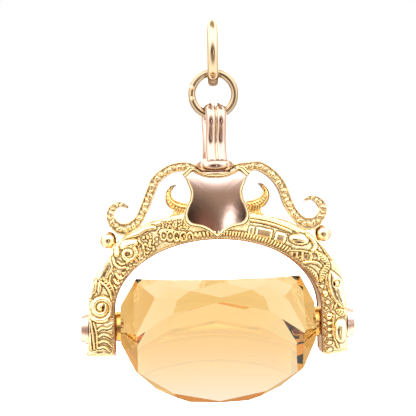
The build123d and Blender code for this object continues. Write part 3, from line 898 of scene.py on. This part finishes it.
def bail_path():
    """The middle line of one side of the bail, over the link ring, as places Y, Z."""
    foot_z = collar_top_z - bail_foot_sunk
    loop_z = link_bottom_z + bail_crown_over_link - bail_loop_radius
    side = [(-y, foot_z + share * (loop_z - foot_z)) for y, share in bail_side]
    crown = []
    for turn in np.radians(np.linspace(*bail_crown_angles, bail_crown_steps)):
        crown.append((bail_loop_radius * math.cos(turn), loop_z + bail_loop_radius * math.sin(turn)))
    line, _ = smooth_line(side + crown + [(-y, z) for y, z in reversed(side)], bail_spacing)
    return line


def bail_rib(name, path, middle_x, width, thickness, material):
    """One rounded rib of the bail."""
    normal = sideways(path)
    turns = np.linspace(0, 2 * math.pi, bail_section_points, endpoint=False)
    aside = np.broadcast_to(middle_x + width / 2 * np.cos(turns), (len(path), len(turns)))[:, :, None]
    around = path[:, None] + normal[:, None] * thickness / 2 * np.sin(turns)[:, None]
    return closed_tube(name, np.concatenate([aside, around], axis=-1), material)


def bail(material, web_material):
    """Two ribs side by side with a thin web between them, each a loop over the link ring."""
    path = bail_path()
    size = (bail_rib_width, bail_rib_thickness)
    parts = [bail_rib("bail_rib", path, side * bail_rib_spacing / 2, *size, material) for side in (-1, 1)]
    parts.append(bail_rib("bail_web", path, 0.0, bail_web_width, bail_web_thickness, web_material))
    ribs = fused("bail", parts)
    ribs.data.transform(Matrix.Rotation(math.radians(bail_turn), 4, "Z"))
    return ribs


# Materials

def fill(tree, node, inputs):
    """Give inputs of a node a number, a colour or the output of another node."""
    for name, value in inputs.items():
        if isinstance(value, bpy.types.NodeSocket):
            tree.links.new(value, node.inputs[name])
        else:
            node.inputs[name].default_value = value


def add_node(tree, kind, inputs, **settings):
    """A new node with its settings and inputs."""
    node = tree.nodes.new(kind)
    for name, value in settings.items():
        setattr(node, name, value)
    fill(tree, node, inputs)
    return node


def arithmetic(tree, operation, *values):
    """The result of a sum on numbers or outputs."""
    return add_node(tree, "ShaderNodeMath", dict(enumerate(values)), operation=operation).outputs[0]


def noise(tree, place, scale, detail):
    """A cloudy pattern."""
    return add_node(tree, "ShaderNodeTexNoise", {0: place, "Scale": scale, "Detail": detail}).outputs["Fac"]


def blend(tree, share, under, over):
    """Two colours mixed by a share."""
    inputs = {"Factor": share, "A": under, "B": over}
    return add_node(tree, "ShaderNodeMix", inputs, data_type="RGBA").outputs["Result"]


def shade(tree, inputs):
    """Fill inputs of the material's shader."""
    fill(tree, tree.nodes["Principled BSDF"], inputs)


def new_material(name):
    """A material and its node tree."""
    material = bpy.data.materials.new(name)
    material.use_nodes = True
    return material, material.node_tree


def metal(name, bright, deep, roughness, grain, tarnish_and_shade_share):
    """Metal with a slight drift of colour, a grain of that height in mm, and hollows darkened by tarnish and
    painted shade.
    """
    material, tree = new_material(name)
    place = add_node(tree, "ShaderNodeTexCoord", {}).outputs["Object"]
    drift = noise(tree, place, *drift_noise)
    wear = noise(tree, place, *wear_noise)
    tone = add_node(tree, "ShaderNodeValToRGB", {"Fac": drift})
    for element, position, share in zip(tone.color_ramp.elements, drift_range, (drift_darkest, 1.0)):
        element.position = position
        element.color = (*[share * c for c in bright], 1)
    low = add_node(tree, "ShaderNodeAttribute", {}, attribute_name="tarnish_and_shade").outputs["Fac"]
    # The hollows mix towards the deep colour: tarnish and painted shade
    hollow = arithmetic(tree, "MULTIPLY", arithmetic(tree, "POWER", low, hollow_power), tarnish_and_shade_share)
    least, most = [share * roughness for share in roughness_range]
    spread = add_node(tree, "ShaderNodeMapRange", {"Value": wear, "To Min": least, "To Max": most})
    smooth = add_node(tree, "ShaderNodeAttribute", {}, attribute_name="polish").outputs["Fac"]
    strength = arithmetic(tree, "SUBTRACT", 1.0, smooth)
    bump = add_node(tree, "ShaderNodeBump", {"Strength": strength, "Distance": grain * MM, "Height": wear})
    rough = arithmetic(tree, "MULTIPLY_ADD", hollow, hollow_roughness, spread.outputs["Result"])
    colour = blend(tree, hollow, tone.outputs["Color"], (*deep, 1))
    shade(tree, {"Base Color": colour, "Roughness": rough, "Normal": bump.outputs["Normal"], "Metallic": 1.0})
    return material


def glass(name, tint, density):
    """Clear faceted stone whose colour deepens with the way that light takes through it."""
    material, tree = new_material(name)
    shade(tree, {"Base Color": (1, 1, 1, 1), "Roughness": 0.0, "Transmission Weight": 1.0, "IOR": stone_ior})
    absorb = add_node(tree, "ShaderNodeVolumeAbsorption", {"Color": (*tint, 1), "Density": density})
    tree.links.new(absorb.outputs["Volume"], tree.nodes["Material Output"].inputs["Volume"])
    return material


# Metals: colour, colour in the hollows, roughness, height of the grain, share of tarnish and painted shade in
# the hollows
yellow_gold = metal("yellow_gold", (1.0, 0.84, 0.51), (0.31, 0.17, 0.1), 0.14, 0.06, 0.8)
strap_gold = metal("strap_gold", (0.8, 0.63, 0.38), (0.28, 0.15, 0.08), 0.14, 0.05, 0.75)
hook_gold = metal("hook_gold", (0.74, 0.5, 0.2), (0.22, 0.09, 0.02), 0.16, 0.06, 0.9)
edge_gold = metal("edge_gold", (0.6, 0.33, 0.18), (0.2, 0.08, 0.02), 0.2, 0.01, 0.9)
plain_gold = metal("plain_gold", (0.8, 0.61, 0.4), (0.3, 0.16, 0.08), 0.07, 0.004, 0.4)
rim_gold = metal("rim_gold", (0.95, 0.82, 0.5), (0.22, 0.12, 0.09), 0.3, 0.004, 0.9)
# The two rings' golds are darker copies of gold: painted shade for the darker reflections that the rings show
shaded_top_ring_gold = metal("shaded_top_ring_gold", (0.58, 0.46, 0.32), (0.3, 0.16, 0.05), 0.07, 0.004, 0.4)
shaded_link_ring_gold = metal("shaded_link_ring_gold", (0.42, 0.32, 0.21), (0.3, 0.16, 0.05), 0.08, 0.006, 0.4)
warm_gold = metal("warm_gold", (0.54, 0.4, 0.335), (0.3, 0.15, 0.08), 0.08, 0.004, 0.4)
rose_gold = metal("rose_gold", (0.69, 0.53, 0.475), (0.3, 0.14, 0.08), 0.09, 0.004, 0.4)
pivot_gold = metal("pivot_gold", (0.85, 0.65, 0.57), (0.3, 0.14, 0.08), 0.28, 0.01, 0.4)
cup_gold = metal("cup_gold", (0.64, 0.37, 0.11), (0.2, 0.08, 0.02), 0.16, 0.01, 0.5)
citrine_glass = glass("citrine_glass", (0.99, 0.84, 0.46), 180.0)

cad_looks = {
    "top_ring": shaded_top_ring_gold, "link_ring": shaded_link_ring_gold, "citrine": citrine_glass,
    "pivot_left": pivot_gold, "pivot_right": pivot_gold, "cup_left": cup_gold, "cup_right": cup_gold,
}
for node, material in cad_looks.items():
    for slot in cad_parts[node].material_slots:
        slot.material = material

# Pieces that stand for the soldered frame
sides = {"left": -1, "right": 1}
ribbons = [
    ("strap", (left_strap_rows, right_strap_rows), strap_width, strap_depth, strap_gold, strap_profile),
    ("hook", (left_hook_rows, right_hook_rows), hook_width, hook_depth, hook_gold, hook_profile),
    ("root", (left_root_rows, right_root_rows), hook_width, root_depth, hook_gold, root_profile),
]
gold_pieces = [yoke_half(f"yoke_{name}", side, yellow_gold) for name, side in sides.items()]
for face_name, face in (("front", -1), ("back", 1)):
    for name, side in sides.items():
        gold_pieces.append(edge_wire(f"edge_{face_name}_{name}", side, face, edge_gold))
for kind, lines, *values in ribbons:
    for name, rows in zip(sides, lines):
        gold_pieces.append(ribbon(f"{kind}_{name}", rows, *values))
for name, place in ball_places.items():
    gold_pieces.append(ball(f"ball_{name}", place, ball_radius, plain_gold))
gold_pieces += [collar(warm_gold), bail(warm_gold, strap_gold), *shield(rose_gold, rim_gold, yellow_gold)]
# Solder on the seam of the link ring
for name, place in solder_places.items():
    piece = ball(f"solder_{name}", place, solder_radius, plain_gold)
    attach(piece, "link_ring")
for piece in gold_pieces:
    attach(piece, "frame")
    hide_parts("frame")


# Floor, world, lights and camera

def floor():
    """A pale floor well below the fob."""
    corners = [(x * floor_half_width, y * floor_half_width, floor_z) for x, y in square_corners]
    material, tree = new_material("floor")
    shade(tree, {"Base Color": (floor_tone,) * 3 + (1,), "Roughness": floor_roughness,
                 "Emission Color": (1, 1, 1, 1), "Emission Strength": floor_glow})
    plane = add_object("floor", corners, [[0, 1, 2, 3]], material)
    plane.visible_glossy = False
    plane.visible_transmission = False


def direction(azimuth, elevation):
    """The way to a place in the room. Azimuth 0 is straight behind a camera that faces the fob."""
    a = math.radians(azimuth)
    e = math.radians(elevation)
    return Vector((math.sin(a) * math.cos(e), -math.cos(a) * math.cos(e), math.sin(e)))


def towards(tree, place, vector):
    """How far a direction in the room points along a vector."""
    inputs = {0: place, 1: vector}
    return add_node(tree, "ShaderNodeVectorMath", inputs, operation="DOT_PRODUCT").outputs["Value"]


def patch(tree, place, under, azimuth, elevation, half_width, half_height, softness, colour):
    """Paint an oval patch over the colours so far."""
    ahead = direction(azimuth, elevation)
    right = direction(azimuth + 90, 0)
    up = right.cross(ahead)
    squares = []
    for vector, half in ((right, half_width), (up, half_height)):
        share = arithmetic(tree, "DIVIDE", towards(tree, place, vector), math.sin(math.radians(half)))
        squares.append(arithmetic(tree, "POWER", share, 2.0))
    distance = arithmetic(tree, "SQRT", arithmetic(tree, "ADD", *squares))
    fade = add_node(tree, "ShaderNodeMapRange", {"Value": distance, "From Min": 1 + softness,
                                                 "From Max": 1 - softness}, interpolation_type="SMOOTHSTEP")
    facing = arithmetic(tree, "GREATER_THAN", towards(tree, place, ahead), 0.0)
    share = arithmetic(tree, "MULTIPLY", fade.outputs["Result"], facing)
    return blend(tree, share, under, (*colour, 1))


def room(tree, place, colours, patches):
    """Colours by height, straight down, at eye level and straight up, with patches over them."""
    below, level, above = colours
    height = add_node(tree, "ShaderNodeSeparateXYZ", {0: place}).outputs["Z"]
    rise = add_node(tree, "ShaderNodeMapRange", {"Value": height, "From Min": -1.0}).outputs["Result"]
    ramp = add_node(tree, "ShaderNodeValToRGB", {"Fac": rise})
    ramp.color_ramp.elements[0].color = (*below, 1)
    ramp.color_ramp.elements[1].color = (*above, 1)
    ramp.color_ramp.elements.new(0.5).color = (*level, 1)
    light = ramp.outputs["Color"]
    for row in patches:
        light = patch(tree, place, light, *row)
    return light


def studio():
    """A white room with patches that polished metal mirrors. The camera sees plain white."""
    world = bpy.data.worlds.new("studio")
    bpy.context.scene.world = world
    world.use_nodes = True
    tree = world.node_tree
    place = add_node(tree, "ShaderNodeTexCoord", {}).outputs["Generated"]
    paths = add_node(tree, "ShaderNodeLightPath", {}).outputs
    mirrored = room(tree, place, room_colours, studio_patches)
    through = room(tree, place, stone_colours, stone_patches)
    light = blend(tree, paths["Is Transmission Ray"], mirrored, through)
    light = blend(tree, paths["Is Camera Ray"], light, (1, 1, 1, 1))
    tree.links.new(light, tree.nodes["Background"].inputs["Color"])


def camera():
    """The camera at the photograph's angle to the fob."""
    data = bpy.data.cameras.new("camera")
    data.sensor_width = camera_sensor
    data.lens = camera_sensor * camera_distance / camera_view_width
    data.clip_start = camera_nearest * MM
    piece = bpy.data.objects.new("camera", data)
    bpy.context.scene.collection.objects.link(piece)
    away = direction(camera_azimuth, camera_elevation)
    place = (Vector(camera_aim) + away * camera_distance) * MM
    look = (-away).to_track_quat("-Z", "Y").to_matrix().to_4x4()
    roll = Matrix.Rotation(math.radians(camera_roll), 4, "Z")
    piece.matrix_world = Matrix.Translation(place) @ look @ roll
    bpy.context.scene.camera = piece


floor()
studio()
camera()
bpy.context.scene.view_settings.view_transform = "Standard"
